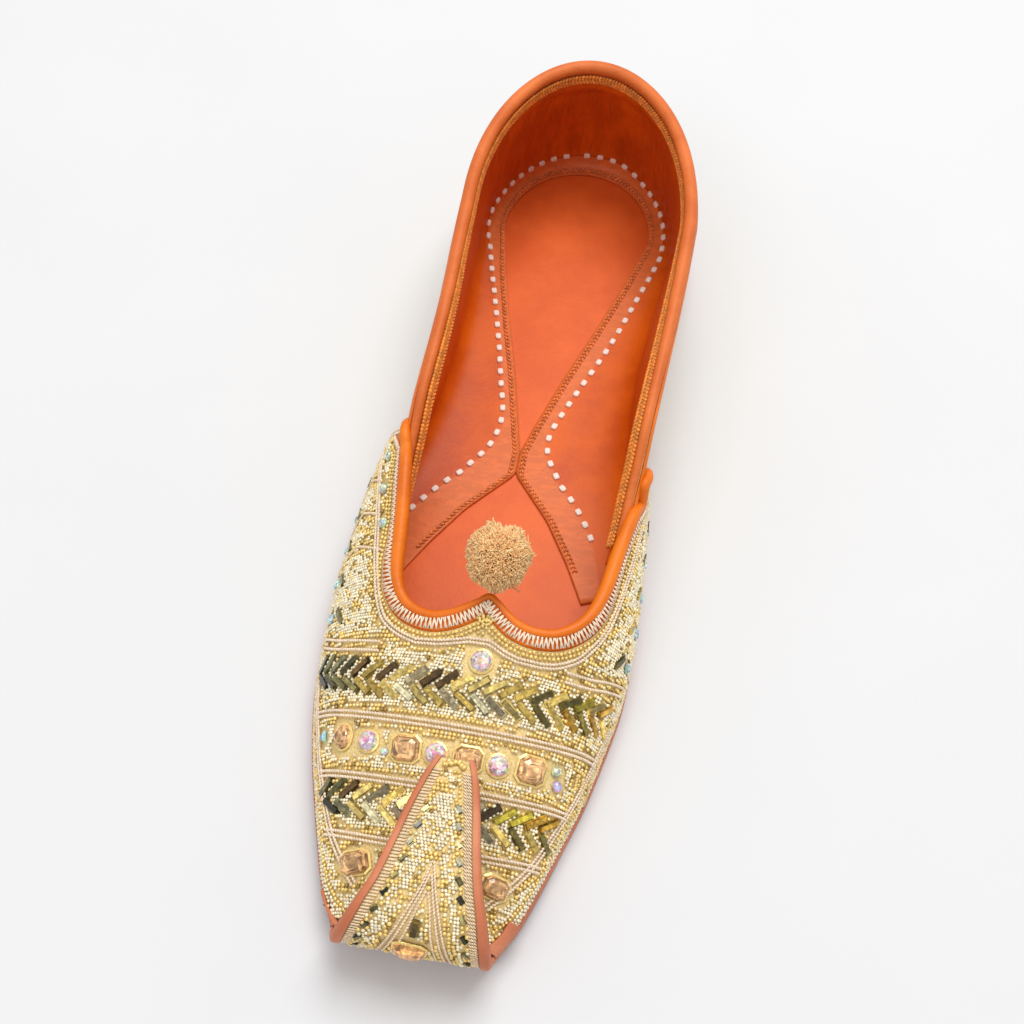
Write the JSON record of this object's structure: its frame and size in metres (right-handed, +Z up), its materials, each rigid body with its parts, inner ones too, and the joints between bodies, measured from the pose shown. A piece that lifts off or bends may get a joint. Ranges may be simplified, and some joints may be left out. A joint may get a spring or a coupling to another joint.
{
  "type": "mojari shoe",
  "caption": "Left mojari: a flat slip-on leather shoe with an embroidered vamp, a square toe folded back into a curl, an open collar and a pompom at the throat.",
  "frame": {"origin": "on the floor, under the middle of the bounding box", "axes": "+Y from the toe to the heel, +X to the wearer's left seen with the toe towards the viewer's feet, +Z up"},
  "size_m": [0.079, 0.2559, 0.0548],
  "materials": {
    "sole_leather": "matt, cut edges waxed",
    "insole_leather": "smooth, satin",
    "embroidered_leather": "gold and ivory bead embroidery on leather, orange lining",
    "lining_leather": "smooth, satin",
    "binding_leather": "rolled, satin",
    "pompom_yarn": "cut yarn pile"
  },
  "bodies": {
    "root": {"outsole": "sole_leather", "insole": "insole_leather", "upper": "embroidered_leather", "lining_margin": "lining_leather", "quarter_binding": "binding_leather", "vamp_binding": "binding_leather", "pompom": "pompom_yarn", "toe_curl": "embroidered_leather"}
  },
  "joints": []
}
